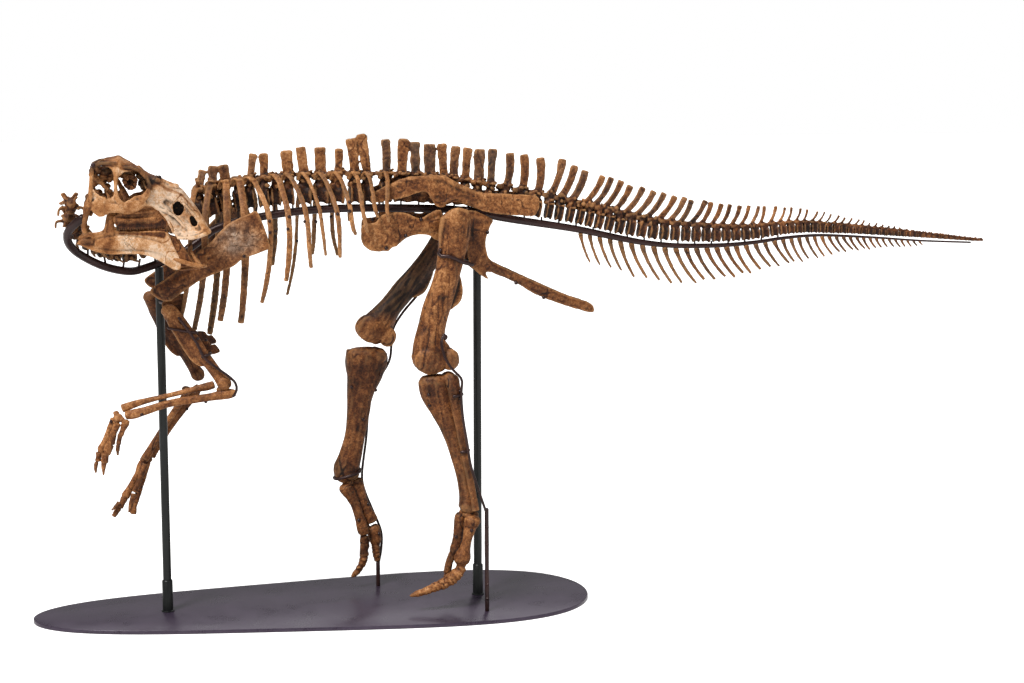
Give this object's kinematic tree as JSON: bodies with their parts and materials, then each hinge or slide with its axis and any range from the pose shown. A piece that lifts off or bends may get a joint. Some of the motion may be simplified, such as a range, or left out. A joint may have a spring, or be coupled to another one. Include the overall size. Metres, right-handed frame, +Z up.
{
  "type": "mounted dinosaur skeleton",
  "caption": "Museum mount of a young duck-billed dinosaur's skeleton, head turned back, walking on a dark egg-shaped steel plate with posts and a curved tube under the spine.",
  "frame": {"origin": "centre of the egg-shaped base plate's long axis, on the plate's underside", "axes": "+X along the plate towards the tail, so the trunk faces -X; +Y to the animal's right; +Z up"},
  "size_m": [3.0617, 0.6359, 1.469],
  "materials": {
    "bone": "satin",
    "pale_bone": "satin",
    "dark_bone": "satin",
    "steel": "satin",
    "plate": "satin"
  },
  "bodies": {
    "root": {"coracoid_left": "bone", "coracoid_right": "bone", "eye_ring_left": "pale_bone", "eye_ring_right": "pale_bone", "femur_left": "bone", "femur_right": "dark_bone", "fibula_left": "bone", "fibula_right": "bone", "foot_left": "bone", "foot_right": "bone", "hand_left": "bone", "hand_right": "bone", "humerus_left": "bone", "humerus_right": "bone", "ilium_left": "bone", "ilium_right": "bone", "ischium_left": "bone", "ischium_right": "bone", "mandible": "pale_bone", "neck": "bone", "pubis_left": "bone", "pubis_right": "bone", "radius_left": "bone", "radius_right": "bone", "sacrum": "bone", "scapula_left": "pale_bone", "scapula_right": "pale_bone", "skull": "pale_bone", "stand_arm_wire_left": "steel", "stand_base": "plate", "stand_femur_strap": "steel", "stand_front_post": "steel", "stand_hip_bar_left": "steel", "stand_hip_bar_right": "steel", "stand_leg_rod_left": "steel", "stand_leg_rod_right": "steel", "stand_rear_post": "steel", "stand_shoulder_bar_left": "steel", "stand_shoulder_bar_right": "steel", "stand_spine_tube": "steel", "sternal_plate_left": "dark_bone", "sternal_plate_right": "dark_bone", "tail_base": "bone", "tail_end": "bone", "tail_middle": "bone", "tibia_left": "bone", "tibia_right": "bone", "trunk_left": "bone", "trunk_right": "bone", "ulna_left": "bone", "ulna_right": "bone"}
  },
  "joints": []
}
